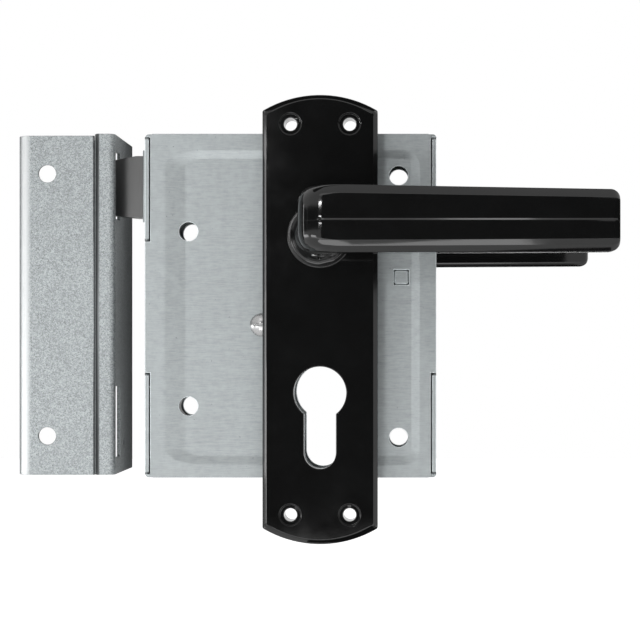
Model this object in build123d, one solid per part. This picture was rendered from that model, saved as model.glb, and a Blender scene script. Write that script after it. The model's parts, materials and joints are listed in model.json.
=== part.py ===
from build123d import *
import math
import os

os.makedirs("parts", exist_ok=True)

# Rim lock for a profile cylinder, with lever set and box keep.
# Millimetres, X along the door towards the lever tips, Z up, Y into the door.
# The origin is the middle of the case's back, which lies on the door.
# Depths are heights above the door face, counted towards the room, so Y is minus the height.

# Case
case_width = 100.0
case_height = 118.0
case_depth = 13.0
case_sheet = 1.3
case_corner_radius = 1.2
case_fold_radius = 1.6
wall_end_drop = 1.0
wall_end_radius = 1.0
cover_inset = 1.8
tab_top_z = 22.0
tab_bottom_z = -23.0
recess_depth = 0.8
recess_slope = 3.6
recess_from_left = 6.0
recess_from_right = 8.5
recess_from_top = 5.3
recess_from_bottom = 4.1
recess_corner_radius = 6.0

# Screw holes that hold the case on the door
fixing_hole_radius = 3.25
left_screws_from_left = 14.9
left_screws_pitch = 60.0
left_screws_mid_z = -4.5
right_screws_from_right = 12.9
right_screws_pitch = 90.0
right_screws_mid_z = -0.25

# Lever axis and profile cylinder
spindle_x = 10.6
spindle_z = 23.4
spindle_square = 8.0
spindle_fit = 0.05
cylinder_below_spindle = 53.1
cylinder_round_radius = 8.9
cylinder_slot_width = 10.8
cylinder_height = 34.5
cylinder_hole_margin = 0.4

# Follower
follower_radius = 9.5
follower_journal_radius = 7.9
follower_arm_length = 18.0
follower_arm_tip_radius = 2.8
follower_arm_root = 5.5
follower_arm_thickness = 3.0
journal_fit = 0.08
follower_end_gap = 0.3

# Latch
bolt_thickness = 8.0
bolt_under_cover_gap = 0.6
bolt_face_gap = 0.5
bolt_side_gap = 0.5
latch_height = 21.2
latch_mid_z = 41.1
latch_projection = 12.8
latch_inner_length = 18.0
latch_nose_thickness = 2.2
latch_nose_round = 0.9
latch_nose_taper = 1.0
latch_bevel_start = 3.5
latch_tail_height = 6.0
latch_tail_gap = 0.8
latch_tail_overlap = 12.0
latch_lug_width = 5.0
latch_lug_gap = 0.2
lip_proud = 0.9
lip_width = 1.3
rod_radius = 1.5
rod_z = 38.0
rod_grip = 3.0
rod_past_stop = 1.6
rod_fit = 0.1
spring_wire_radius = 0.35
spring_mean_radius = 2.4
spring_turns = 8
spring_room = 24.0
stop_thickness = 1.5
stop_half_width = 4.5
stop_foot = 7.0

# Deadbolt
deadbolt_height = 23.6
deadbolt_mid_z = -40.0
deadbolt_length = 46.0
deadbolt_throw = 20.0
deadbolt_edge_chamfer = 0.6
deadbolt_slot_gap = 0.5
tail_thickness = 3.0
tail_top_z = 2.5
tail_bar_height = 21.5
tail_left_x = -18.0
tail_right_x = 40.0
tail_leg_width = 7.0
tail_leg_drop = 20.0
tail_corner_radius = 1.5
cam_radius = 15.0
cam_notch_width = 10.0
cam_notch_rise = 4.8
tumbler_notch_depth = 3.0
tumbler_notch_side_gap = 0.8
tumbler_notch_shift = 0.6
rivet_radius = 1.5
rivet_fit = 0.02
rivet_edge = 3.0

# Guide post and cover screw
guide_post_x = -10.0
guide_post_z = -6.6
guide_post_radius = 3.5
guide_fit = 0.15
cover_screw_head_radius = 4.0
cover_screw_head_height = 1.9
cover_screw_shank_radius = 1.9
cover_screw_reach = 6.0
screw_slot_width = 1.0
screw_slot_depth = 0.8

# Tumbler
tumbler_post_from_right = 12.0
tumbler_post_z = 9.8
tumbler_post_radius = 3.0
tumbler_post_fit = 0.06
tumbler_thickness = 2.5
tumbler_layer_gap = 0.5
tumbler_eye_radius = 6.0
tumbler_lug_x = 3.0
tumbler_lug_width = 4.0
tumbler_lug_height = 4.0
tumbler_lift = 0.3
tumbler_top_z = 8.0
tumbler_belly_z = -16.5
tenon_square = 4.4
tenon_window = 5.2
tenon_below_face = 0.4
leaf_thickness = 0.5
leaf_width = 3.5
leaf_top_z = 33.0
leaf_corner_z = 21.5
leaf_bend_radius = 4.0
leaf_tip_x = 14.0
leaf_seat_gap = 0.05
leaf_rivet_z = 29.0
leaf_rivet_radius = 1.0
leaf_rivet_head_radius = 1.7
leaf_rivet_head_height = 0.7

# Front plate
plate_width = 39.0
plate_height = 152.0
plate_mid_z = -4.9
plate_depth = 10.0
plate_wall = 2.0
plate_end_rise = 5.4
plate_corner_radius = 1.2
plate_bevel = 1.5
plate_screw_radius = 2.2
plate_sink_radius = 3.65
plate_sink_depth = 1.1
plate_screw_pitch_x = 20.0
plate_screw_pitch_z = 132.0
plate_boss_radius = 4.2
plate_rib = 1.6
plate_rib_levels = (45.0, -2.0, -62.0)
plate_rib_clearance = 1.0
screw_head_room = 0.8

# Bushes and retaining rings
bush_flange_radius = 11.0
bush_flange_height = 1.2
bush_sleeve_radius = 9.6
bush_past_wall = 0.6
bush_edge = 0.4
bush_seat_fit = 0.05
neck_journal_radius = 8.4
bush_running_fit = 0.06
ring_outer_radius = 10.0
ring_thickness = 1.0
ring_groove_depth = 0.7
ring_fit = 0.02
ring_opening_deg = 50.0
ring_side_gap = 0.1
journal_past_ring = 1.2

# Levers
lever_reach = 30.4
lever_tip_x = 108.4
lever_left_x = 4.5
lever_left_bottom_z = 16.0
lever_left_height = 22.1
lever_tip_bottom_z = 16.5
lever_tip_height = 19.9
grip_thickness = 11.0
neck_width = 13.0
elbow_outer_radius = 7.5
elbow_inner_radius = 5.0
tip_radius = 3.0
elbow_corner_radius = 6.0
grip_top_bevel = 2.8
grip_top_bevel_depth = 2.2
grip_low_bevel = 1.9
grip_low_bevel_depth = 0.7
grip_chin = 2.0
grip_chin_depth = 1.9
grip_back_round = 1.6
grip_groove_z = 26.6
grip_groove_width = 0.7
grip_groove_depth = 0.3
disc_radius = 9.9
disc_height = 1.6
disc_gap = 0.15
neck_base_radius = 9.0
neck_blend = 8.0
spindle_in_lever = 21.0
grub_radius = 2.5
grub_length = 3.4
grub_socket_radius = 1.25
grub_socket_depth = 1.5
grub_height = 8.5
grub_fit = 0.02

# Rear rose
door_gap = 18.0
rose_radius = 25.0
rose_thickness = 6.6
rose_wall = 2.0
rose_edge_radius = 2.0

# Keep
keep_to_case = 10.3
keep_width = 33.5
keep_height = 117.1
keep_mid_z = 0.5
keep_depth = 37.0
keep_sheet = 1.2
frame_face = 0.0
keep_left_bend = 4.2
keep_right_bend = 2.0
seam_from_right = 6.0
seam_gap = 0.2
seam_round = 0.5
joggle_run = 0.5
joggle_bend = 0.65
lap_width = 8.0
face_top_drop = 0.7
lap_top_drop = 1.5
keep_hole_radius = 3.0
keep_hole_from_left = 10.3
keep_hole_pitch = 90.0
keep_hole_mid_z = 0.3
latch_window_extra_top = 1.1
nail_hole_radius = 1.65
nail_hole_depth = 19.0
nail_hole_z = -48.0

# How far a cutter runs past what it cuts
cut_past = 1.0

# Levels worked out from the sizes above
case_left_x = -case_width / 2
case_right_x = case_width / 2
case_top_z = case_height / 2
case_bottom_z = -case_height / 2
recess_left_x = case_left_x + recess_from_left
recess_right_x = case_right_x - recess_from_right
recess_top_z = case_top_z - recess_from_top
recess_bottom_z = case_bottom_z + recess_from_bottom
left_screws_x = case_left_x + left_screws_from_left
right_screws_x = case_right_x - right_screws_from_right
tumbler_post_x = case_right_x - tumbler_post_from_right
wall_left_x = case_left_x + case_sheet
wall_right_x = case_right_x - case_sheet
cover_inner = case_depth - case_sheet
field_face = case_depth - recess_depth
field_inner = field_face - case_sheet
bolt_front = field_inner - bolt_under_cover_gap
bolt_back = bolt_front - bolt_thickness
bolt_middle = (bolt_front + bolt_back) / 2
arm_front = bolt_middle + follower_arm_thickness / 2
arm_back = bolt_middle - follower_arm_thickness / 2
tail_front = bolt_back + tail_thickness
tumbler_back = tail_front + tumbler_layer_gap
tumbler_front = tumbler_back + tumbler_thickness
cylinder_z = spindle_z - cylinder_below_spindle
cylinder_bottom_z = cylinder_z + cylinder_round_radius - cylinder_height
latch_bottom_z = latch_mid_z - latch_height / 2
latch_top_z = latch_mid_z + latch_height / 2
latch_back_x = wall_left_x + latch_inner_length
spring_stop_x = latch_back_x + spring_room
arm_tip_z = spindle_z + follower_arm_length
latch_tail_bottom_z = arm_tip_z + follower_arm_tip_radius + latch_tail_gap
latch_tail_top_z = latch_tail_bottom_z + latch_tail_height
latch_lug_x = spindle_x + follower_arm_tip_radius + latch_lug_gap
latch_lug_bottom_z = spindle_z + follower_radius + latch_tail_gap
deadbolt_top_z = deadbolt_mid_z + deadbolt_height / 2
deadbolt_bottom_z = deadbolt_mid_z - deadbolt_height / 2
deadbolt_back_x = case_left_x + deadbolt_length
tail_bottom_z = tail_top_z - tail_bar_height
tail_leg_x = deadbolt_back_x - tail_leg_width
plate_face = case_depth + plate_depth
rose_back = -door_gap
rose_face = rose_back - rose_thickness
keep_right_x = case_left_x - keep_to_case
keep_left_x = keep_right_x - keep_width
keep_top_z = keep_mid_z + keep_height / 2
keep_bottom_z = keep_mid_z - keep_height / 2
keep_back = case_depth - keep_depth
seam_x = keep_right_x - seam_from_right
face_end_x = seam_x - joggle_run / 2 - keep_sheet / 2 - seam_gap
ring_inner_radius = neck_journal_radius - ring_groove_depth + ring_fit


def block(x_low, x_high, low, high, z_low, z_high):
    """A block between two heights above the door."""
    size = (x_high - x_low, high - low, z_high - z_low)
    middle = ((x_low + x_high) / 2, -(low + high) / 2, (z_low + z_high) / 2)
    return Pos(*middle) * Box(*size)


def slab(outline, low, high):
    """An outline drawn in X and Z, thickened between two heights above the door."""
    return extrude(Plane.XZ.offset(low) * outline, amount=high - low)


def upright(outline, z_low, z_high):
    """An outline drawn in X and Y, thickened between two levels of Z."""
    return extrude(Plane.XY.offset(z_low) * outline, amount=z_high - z_low)


def disc(radius, x, z, low, high):
    """A round slab at x and z, between two heights above the door."""
    return slab(Pos(x, z) * Circle(radius), low, high)


def pin(radius, x_low, x_high, height, z):
    """A round bar along X at a height above the door."""
    bar = Plane.YZ.offset(x_low) * Pos(-height, z) * Circle(radius)
    return extrude(bar, amount=x_high - x_low)


def polygon(*points):
    """A flat face with straight sides."""
    return make_face(Polyline(*points, close=True))


def rounded_polygon(radius, *points):
    """A flat face with straight sides and every corner rounded."""
    face = polygon(*points)
    return fillet(face.vertices(), radius)


def corners(face, *points):
    """The corners of a flat face that lie nearest to the points given."""
    return [face.vertices().sort_by_distance(Vector(*point))[0] for point in points]


def fixing_holes():
    """The middles of the four screws that go through case and cover."""
    left = [left_screws_mid_z + side * left_screws_pitch / 2 for side in (1, -1)]
    right = [right_screws_mid_z + side * right_screws_pitch / 2 for side in (1, -1)]
    return [(left_screws_x, z) for z in left] + [(right_screws_x, z) for z in right]


def plate_screws():
    """The middles of the four screw holes in the front plate."""
    half_x = plate_screw_pitch_x / 2
    half_z = plate_screw_pitch_z / 2
    sides = [(i, j) for i in (-1, 1) for j in (-1, 1)]
    return [(spindle_x + i * half_x, plate_mid_z + j * half_z) for i, j in sides]


def cylinder_outline(margin):
    """The keyhole shape of a profile cylinder, grown by a margin."""
    half = cylinder_slot_width / 2 + margin
    end_z = cylinder_bottom_z - margin + half
    round_part = Pos(spindle_x, cylinder_z) * Circle(cylinder_round_radius + margin)
    end = Pos(spindle_x, end_z) * Circle(half)
    stem = Pos(spindle_x, (cylinder_z + end_z) / 2) * Rectangle(2 * half, cylinder_z - end_z)
    return round_part + end + stem


def case_openings(low, high):
    """Everything that is cut alike through back and cover."""
    cut = slab(cylinder_outline(cylinder_hole_margin), low, high)
    cut += disc(follower_journal_radius + journal_fit, spindle_x, spindle_z, low, high)
    for x, z in fixing_holes():
        cut += disc(fixing_hole_radius, x, z, low, high)
    return cut


def bolt_window(x_low, x_high, z_low, z_high):
    """The hole in a wall that a bolt slides through."""
    low = bolt_back - bolt_face_gap
    high = bolt_front + bolt_face_gap
    return block(x_low, x_high, low, high, z_low - bolt_side_gap, z_high + bolt_side_gap)


def wall_lug(side, z_low, z_high):
    """The stretch of a side wall that stands beside the cover."""
    root = cover_inner - 3 * wall_end_radius
    middle = (-(root + case_depth) / 2, (z_low + z_high) / 2)
    outline = Pos(*middle) * RectangleRounded(case_depth - root, z_high - z_low, wall_end_radius)
    x_low = case_left_x if side < 0 else wall_right_x
    return extrude(Plane.YZ.offset(x_low) * outline, amount=case_sheet)


def latch_lip():
    """The raised lip round the latch's aperture."""
    lip = block(
        case_left_x - lip_proud,
        wall_left_x,
        bolt_back - bolt_face_gap - lip_width / 2,
        cover_inner,
        latch_bottom_z - bolt_side_gap - lip_width,
        latch_top_z + bolt_side_gap + lip_width,
    )
    outer_rim = lip.faces().sort_by(Axis.X)[0].edges()
    return fillet(outer_rim, lip_proud / 2)


def case_body():
    """The folded pan that lies on the door."""
    outline = RectangleRounded(case_width, case_height, case_corner_radius)
    pan = slab(outline, 0, cover_inner)
    back_rim = pan.faces().sort_by(Axis.Y)[-1].edges()
    pan = fillet(back_rim, case_fold_radius)
    floor_z = case_bottom_z + case_sheet
    pan -= block(wall_left_x, wall_right_x, case_sheet, case_depth, floor_z, -floor_z)
    for side in (-1, 1):
        pan += wall_lug(side, tab_top_z, case_top_z - wall_end_drop)
        pan += wall_lug(side, case_bottom_z + wall_end_drop, tab_bottom_z)
    pan += latch_lip()
    outside_x = case_left_x - 2 * lip_proud
    pan -= bolt_window(outside_x, wall_left_x + cut_past, latch_bottom_z, latch_top_z)
    pan -= bolt_window(outside_x, wall_left_x + cut_past, deadbolt_bottom_z, deadbolt_top_z)
    pan -= case_openings(-cut_past, case_sheet + cut_past)
    rivet_height = tumbler_back + leaf_width / 2
    rivet_hole = leaf_rivet_radius + rivet_fit
    inside_x = wall_right_x - cut_past
    pan -= pin(rivet_hole, inside_x, case_right_x + cut_past, rivet_height, leaf_rivet_z)
    return pan


def field_outline(shrink):
    """The outline of the cover's pressed field, drawn in by its slope."""
    width = recess_right_x - recess_left_x - 2 * shrink
    height = recess_top_z - recess_bottom_z - 2 * shrink
    middle = ((recess_right_x + recess_left_x) / 2, (recess_top_z + recess_bottom_z) / 2)
    return Pos(*middle) * RectangleRounded(width, height, recess_corner_radius - shrink / 2)


def field_press(top):
    """The tapered block that presses the field down from the given height."""
    wide = Plane.XZ.offset(top) * field_outline(0)
    narrow = Plane.XZ.offset(top - recess_depth) * field_outline(recess_slope)
    return loft([wide.face(), narrow.face()], ruled=True)


def case_cover():
    """The lid, with its pressed field and side tabs."""
    lid_width = case_width - 2 * cover_inset
    outline = RectangleRounded(lid_width, case_height, case_corner_radius)
    lid = slab(outline, cover_inner, case_depth)
    lid += block(case_left_x, case_right_x, cover_inner, case_depth, tab_bottom_z, tab_top_z)
    lid += field_press(cover_inner)
    lid -= field_press(case_depth)
    under = field_inner - cut_past
    lid -= case_openings(under, case_depth + cut_past)
    screw_hole = cover_screw_shank_radius + rivet_fit
    lid -= disc(screw_hole, guide_post_x, guide_post_z, under, case_depth)
    window = Pos(tumbler_post_x, tumbler_post_z) * Rectangle(tenon_window, tenon_window)
    lid -= slab(window, under, case_depth)
    return lid


def guide_post():
    """The tapped post between back and cover that also guides the deadbolt."""
    post = disc(guide_post_radius, guide_post_x, guide_post_z, case_sheet, field_inner)
    bore_low = field_face - cover_screw_reach
    bore = cover_screw_shank_radius + rivet_fit
    return post - disc(bore, guide_post_x, guide_post_z, bore_low, field_inner + cut_past)


def cover_screw():
    """The low domed screw that holds the cover on the guide post."""
    radius = cover_screw_head_radius
    rise = cover_screw_head_height
    ball_radius = (radius**2 + rise**2) / (2 * rise)
    ball_height = field_face + rise - ball_radius
    dome = Pos(guide_post_x, -ball_height, guide_post_z) * Sphere(ball_radius)
    head = dome & disc(radius, guide_post_x, guide_post_z, field_face, field_face + rise)
    slot_floor = field_face + rise - screw_slot_depth
    half = screw_slot_width / 2
    left_x = guide_post_x - radius
    right_x = guide_post_x + radius
    top = field_face + rise
    head -= block(left_x, right_x, slot_floor, top, guide_post_z - half, guide_post_z + half)
    shank_low = field_face - cover_screw_reach
    return head + disc(
        cover_screw_shank_radius, guide_post_x, guide_post_z, shank_low, field_face
    )


def tumbler_post():
    """The post that the tumbler turns on, with a square end in the cover's window."""
    post = disc(tumbler_post_radius, tumbler_post_x, tumbler_post_z, case_sheet, field_inner)
    square = Pos(tumbler_post_x, tumbler_post_z) * Rectangle(tenon_square, tenon_square)
    return post + slab(square, field_inner, field_face - tenon_below_face)


def tumbler():
    """The plate that drops its lug into the deadbolt's notches."""
    left_x = tumbler_lug_x - tumbler_lug_width
    belly_left_x = spindle_x - cam_radius / 2
    belly_right_x = spindle_x + cam_radius / 2
    body = rounded_polygon(
        tail_corner_radius,
        (left_x, tumbler_top_z),
        (left_x, tail_top_z - tumbler_notch_depth),
        (belly_left_x, tumbler_belly_z),
        (belly_right_x, tumbler_belly_z),
        (tumbler_post_x, tumbler_post_z - tumbler_eye_radius),
        (tumbler_post_x, tumbler_post_z + tumbler_eye_radius),
        (belly_right_x, tumbler_top_z),
    )
    eye = Pos(tumbler_post_x, tumbler_post_z) * Circle(tumbler_eye_radius)
    hole = Pos(tumbler_post_x, tumbler_post_z) * Circle(tumbler_post_radius + tumbler_post_fit)
    plate = slab(body + eye - hole, tumbler_back, tumbler_front)
    lug_low_z = tail_top_z + tumbler_lift
    lug = block(
        tumbler_lug_x - tumbler_lug_width / 2,
        tumbler_lug_x + tumbler_lug_width / 2,
        bolt_back + tumbler_layer_gap,
        tumbler_back,
        lug_low_z,
        lug_low_z + tumbler_lug_height,
    )
    return plate + lug


def tumbler_spring():
    """The leaf that lies on the right wall and bears on the tumbler's top edge."""
    line_x = wall_right_x - leaf_thickness / 2
    tip_z = tumbler_top_z + leaf_seat_gap + leaf_thickness / 2
    points = [(line_x, leaf_top_z), (line_x, leaf_corner_z), (leaf_tip_x, tip_z)]
    strip = trace(FilletPolyline(*points, radius=leaf_bend_radius), leaf_thickness)
    leaf = slab(strip, tumbler_back, tumbler_back + leaf_width)
    rivet_height = tumbler_back + leaf_width / 2
    hole = leaf_rivet_radius + rivet_fit
    inside_x = wall_right_x - leaf_thickness - cut_past
    return leaf - pin(hole, inside_x, wall_right_x + cut_past, rivet_height, leaf_rivet_z)


def tumbler_spring_rivet():
    """The rivet that holds the leaf on the right wall."""
    height = tumbler_back + leaf_width / 2
    leaf_face_x = wall_right_x - leaf_thickness
    head_x = leaf_face_x - leaf_rivet_head_height
    shank = pin(leaf_rivet_radius, leaf_face_x, case_right_x, height, leaf_rivet_z)
    return shank + pin(leaf_rivet_head_radius, head_x, leaf_face_x, height, leaf_rivet_z)


def follower():
    """The hub on the lever spindle, with the arm that draws the latch."""
    hub = disc(
        follower_radius,
        spindle_x,
        spindle_z,
        case_sheet + follower_end_gap,
        field_inner - follower_end_gap,
    )
    hub += disc(follower_journal_radius, spindle_x, spindle_z, 0, field_face)
    flank = polygon(
        (spindle_x - follower_arm_root, spindle_z),
        (spindle_x + follower_arm_tip_radius, spindle_z),
        (spindle_x + follower_arm_tip_radius, arm_tip_z),
        (spindle_x - follower_arm_tip_radius, arm_tip_z),
    )
    tip = Pos(spindle_x, arm_tip_z) * Circle(follower_arm_tip_radius)
    hub += slab(flank + tip, arm_back, arm_front)
    side = spindle_square + 2 * spindle_fit
    square = Pos(spindle_x, spindle_z) * Rectangle(side, side)
    return hub - slab(square, -cut_past, case_depth)


def latch_rivet_places():
    """The middles of the two rivets between latch head and latch tail."""
    z = (latch_tail_bottom_z + latch_tail_top_z) / 2
    return [(latch_back_x - rivet_edge, z), (latch_back_x - latch_tail_overlap + rivet_edge, z)]


def latch_head():
    """The latch bolt's nose, bevelled on the room side and drawn in towards its tip."""
    tip_x = case_left_x - latch_projection
    bevel_x = case_left_x - latch_bevel_start
    nose_y = -(bolt_back + latch_nose_thickness)
    plan = polygon(
        (latch_back_x, -bolt_back),
        (tip_x, -bolt_back),
        (tip_x, nose_y),
        (bevel_x, -bolt_front),
        (latch_back_x, -bolt_front),
    )
    plan = fillet(corners(plan, (tip_x, -bolt_back), (tip_x, nose_y)), latch_nose_round)
    side = polygon(
        (latch_back_x, latch_bottom_z),
        (bevel_x, latch_bottom_z),
        (tip_x, latch_bottom_z + latch_nose_taper),
        (tip_x, latch_top_z - latch_nose_taper),
        (bevel_x, latch_top_z),
        (latch_back_x, latch_top_z),
    )
    head = upright(plan, latch_bottom_z, latch_top_z) & slab(side, bolt_back, bolt_front)
    slot_x = latch_back_x - latch_tail_overlap
    head -= block(
        slot_x,
        latch_back_x + cut_past,
        arm_back,
        arm_front,
        latch_tail_bottom_z,
        latch_top_z + cut_past,
    )
    for x, z in latch_rivet_places():
        head -= disc(rivet_radius + rivet_fit, x, z, bolt_back - cut_past, bolt_front + cut_past)
    rod_hole = rod_radius + rivet_fit
    return head - pin(rod_hole, latch_back_x - rod_grip, latch_back_x + cut_past, bolt_middle, rod_z)


def latch_tail():
    """The strip that joins the latch head to the lug drawn by the follower's arm."""
    left_x = latch_back_x - latch_tail_overlap
    right_x = latch_lug_x + latch_lug_width
    outline = polygon(
        (left_x, latch_tail_bottom_z),
        (latch_lug_x, latch_tail_bottom_z),
        (latch_lug_x, latch_lug_bottom_z),
        (right_x, latch_lug_bottom_z),
        (right_x, latch_tail_top_z),
        (left_x, latch_tail_top_z),
    )
    outer = corners(outline, (right_x, latch_lug_bottom_z), (right_x, latch_tail_top_z))
    strip = slab(fillet(outer, tail_corner_radius), arm_back, arm_front)
    for x, z in latch_rivet_places():
        strip -= disc(rivet_radius + rivet_fit, x, z, bolt_back, bolt_front)
    return strip


def latch_rivets():
    """The two rivets through latch head and tail, flush on both sides."""
    places = latch_rivet_places()
    return Compound([disc(rivet_radius, x, z, bolt_back, bolt_front).solid() for x, z in places])


def latch_rod():
    """The rod that the latch spring sits on."""
    left_x = latch_back_x - rod_grip
    right_x = spring_stop_x + stop_thickness + rod_past_stop
    rod = pin(rod_radius, left_x, right_x, bolt_middle, rod_z)
    return chamfer(rod.faces().sort_by(Axis.X)[-1].edges(), rod_radius / 3)


def spring_stop():
    """The bracket on the case's back that the latch spring pushes against."""
    top = bolt_front - bolt_face_gap
    right_x = spring_stop_x + stop_thickness
    low_z = rod_z - stop_half_width
    high_z = rod_z + stop_half_width
    bracket = block(spring_stop_x, right_x, case_sheet, top, low_z, high_z)
    foot_x = right_x + stop_foot
    foot_top = case_sheet + stop_thickness
    bracket += block(spring_stop_x, foot_x, case_sheet, foot_top, low_z, high_z)
    left_x = spring_stop_x - cut_past
    return bracket - pin(rod_radius + rod_fit, left_x, right_x + cut_past, bolt_middle, rod_z)


def latch_spring():
    """The compression spring round the latch rod, as one unbroken wire."""
    length = spring_room - 2 * spring_wire_radius
    pitch = length / spring_turns
    path = Helix(pitch, length, spring_mean_radius)
    section = Plane(origin=path @ 0, z_dir=path % 0) * Circle(spring_wire_radius)
    coil = sweep(section, path=path, is_frenet=True)
    start = (latch_back_x + spring_wire_radius, -bolt_middle, rod_z)
    return Pos(*start) * Rot(0, 90, 0) * coil


def deadbolt_rivet_places():
    """The middles of the two rivets between deadbolt head and tail."""
    x = deadbolt_back_x - tail_leg_width / 2
    low_z = deadbolt_top_z - tail_leg_drop + rivet_edge
    return [(x, deadbolt_top_z - rivet_edge), (x, low_z)]


def deadbolt_head():
    """The bolt, slotted so that it slides past a case screw."""
    head = block(
        case_left_x, deadbolt_back_x, bolt_back, bolt_front, deadbolt_bottom_z, deadbolt_top_z
    )
    head = chamfer(head.faces().sort_by(Axis.X)[0].edges(), deadbolt_edge_chamfer)
    slot_half = fixing_hole_radius + deadbolt_slot_gap
    slot_z = left_screws_mid_z - left_screws_pitch / 2
    slot = SlotCenterToCenter(deadbolt_throw, 2 * slot_half)
    place = Pos(left_screws_x + deadbolt_throw / 2, slot_z)
    head -= slab(place * slot, bolt_back - cut_past, bolt_front + cut_past)
    leg_low_z = deadbolt_top_z - tail_leg_drop
    head -= block(
        tail_leg_x,
        deadbolt_back_x + cut_past,
        bolt_back - cut_past,
        tail_front,
        leg_low_z,
        deadbolt_top_z + cut_past,
    )
    for x, z in deadbolt_rivet_places():
        head -= disc(rivet_radius + rivet_fit, x, z, bolt_back - cut_past, bolt_front + cut_past)
    return head


def deadbolt_tail():
    """The sheet arm with the cam notch, the tumbler notches and the guide slot."""
    leg_low_z = deadbolt_top_z - tail_leg_drop
    arm = polygon(
        (tail_left_x, tail_top_z),
        (tail_right_x, tail_top_z),
        (tail_right_x, tail_bottom_z),
        (deadbolt_back_x, tail_bottom_z),
        (deadbolt_back_x, leg_low_z),
        (tail_leg_x, leg_low_z),
        (tail_leg_x, deadbolt_top_z),
        (tail_left_x, tail_bottom_z),
    )
    free = corners(arm, (tail_left_x, tail_top_z), (tail_right_x, tail_top_z))
    free += corners(arm, (tail_right_x, tail_bottom_z), (deadbolt_back_x, tail_bottom_z))
    arm = fillet(free, tail_corner_radius)
    notch_x = spindle_x + deadbolt_throw / 2
    notch_z = tail_bottom_z + cam_notch_rise / 2
    arm -= Pos(notch_x, notch_z) * Rectangle(cam_notch_width, cam_notch_rise)
    guide = SlotCenterToCenter(deadbolt_throw, 2 * (guide_post_radius + guide_fit))
    arm -= Pos(guide_post_x + deadbolt_throw / 2, guide_post_z) * guide
    width = tumbler_lug_width + 2 * tumbler_notch_side_gap
    for x in (tumbler_lug_x, tumbler_lug_x + deadbolt_throw):
        place = Pos(x + tumbler_notch_shift, tail_top_z - tumbler_notch_depth / 2)
        arm -= place * Rectangle(width, tumbler_notch_depth)
    sheet = slab(arm, bolt_back, tail_front)
    for x, z in deadbolt_rivet_places():
        sheet -= disc(rivet_radius + rivet_fit, x, z, bolt_back - cut_past, tail_front + cut_past)
    return sheet


def deadbolt_rivets():
    """The two rivets through deadbolt head and tail, flush on both sides."""
    places = deadbolt_rivet_places()
    return Compound([disc(rivet_radius, x, z, bolt_back, bolt_front).solid() for x, z in places])


def plate_outline(inset):
    """The long plate's outline, straight at the sides and curved at both ends."""
    half = plate_width / 2 - inset
    apex = plate_height / 2 - inset
    shoulder = plate_height / 2 - plate_end_rise - inset
    top = ThreePointArc((-half, shoulder), (0, apex), (half, shoulder))
    right = Line((half, shoulder), (half, -shoulder))
    bottom = ThreePointArc((half, -shoulder), (0, -apex), (-half, -shoulder))
    left = Line((-half, -shoulder), (-half, shoulder))
    face = make_face([top, right, bottom, left])
    return Pos(spindle_x, plate_mid_z) * fillet(face.vertices(), plate_corner_radius)


def front_plate():
    """The long plate: a bevelled shell, open towards the case, with bosses and ribs."""
    shoulder = plate_face - plate_bevel
    plate = slab(plate_outline(0), case_depth, shoulder)
    wide = Plane.XZ.offset(shoulder) * plate_outline(0)
    narrow = Plane.XZ.offset(plate_face) * plate_outline(plate_bevel)
    plate += loft([wide.face(), narrow.face()], ruled=True)
    ceiling = plate_face - plate_wall
    plate -= slab(plate_outline(plate_wall), case_depth - cut_past, ceiling)
    half = plate_width / 2 - plate_wall / 2
    low = case_depth + plate_rib_clearance
    for z in plate_rib_levels:
        plate += block(
            spindle_x - half, spindle_x + half, low, ceiling, z - plate_rib / 2, z + plate_rib / 2
        )
    for x, z in plate_screws():
        plate += disc(plate_boss_radius, x, z, case_depth, ceiling)
    for x, z in plate_screws():
        plate -= disc(plate_screw_radius, x, z, case_depth - cut_past, plate_face + cut_past)
        sink_floor = plate_face - plate_sink_depth
        plate -= disc(plate_sink_radius, x, z, sink_floor, plate_face + cut_past)
    plate -= slab(cylinder_outline(0), case_depth - cut_past, plate_face + cut_past)
    seat = bush_sleeve_radius + bush_seat_fit
    plate -= disc(seat, spindle_x, spindle_z, case_depth - cut_past, plate_face + cut_past)
    left_x = spindle_x - plate_width / 2
    room = cover_screw_head_radius + screw_head_room
    return plate - block(
        left_x - cut_past,
        guide_post_x + room,
        case_depth - cut_past,
        field_face + cover_screw_head_height + screw_head_room,
        guide_post_z - room,
        guide_post_z + room,
    )


def front_bush():
    """The flanged bush that the front lever's neck turns in."""
    top = plate_face + bush_flange_height
    flange = disc(bush_flange_radius, spindle_x, spindle_z, plate_face, top)
    flange = chamfer(flange.faces().sort_by(Axis.Y)[0].edges(), bush_edge)
    low = plate_face - plate_wall - bush_past_wall
    bush = flange + disc(bush_sleeve_radius, spindle_x, spindle_z, low, plate_face)
    bore = neck_journal_radius + bush_running_fit
    return bush - disc(bore, spindle_x, spindle_z, low - cut_past, top + cut_past)


def neck_ring():
    """The open retaining ring in the front lever's journal groove."""
    high = plate_face - plate_wall - bush_past_wall - ring_side_gap
    ring = disc(ring_outer_radius, spindle_x, spindle_z, high - ring_thickness, high)
    ring -= disc(ring_inner_radius, spindle_x, spindle_z, 0, plate_face)
    reach = 2 * ring_outer_radius
    half = reach * math.tan(math.radians(ring_opening_deg / 2))
    opening = polygon(
        (spindle_x, spindle_z),
        (spindle_x - half, spindle_z - reach),
        (spindle_x + half, spindle_z - reach),
    )
    return ring - slab(opening, 0, plate_face)


def grip_section(x, bottom_z, height):
    """The grip's cross-section: one bevel above its face, and two below it."""
    front = -(plate_face + lever_reach)
    back = -(plate_face + neck_blend)
    top_z = bottom_z + height
    outline = polygon(
        (back, bottom_z),
        (front + grip_low_bevel_depth + grip_chin_depth, bottom_z),
        (front + grip_low_bevel_depth, bottom_z + grip_chin),
        (front, bottom_z + grip_chin + grip_low_bevel),
        (front, top_z - grip_top_bevel),
        (front + grip_top_bevel_depth, top_z),
        (back, top_z),
    )
    return Plane.YZ.offset(x) * outline


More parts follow.
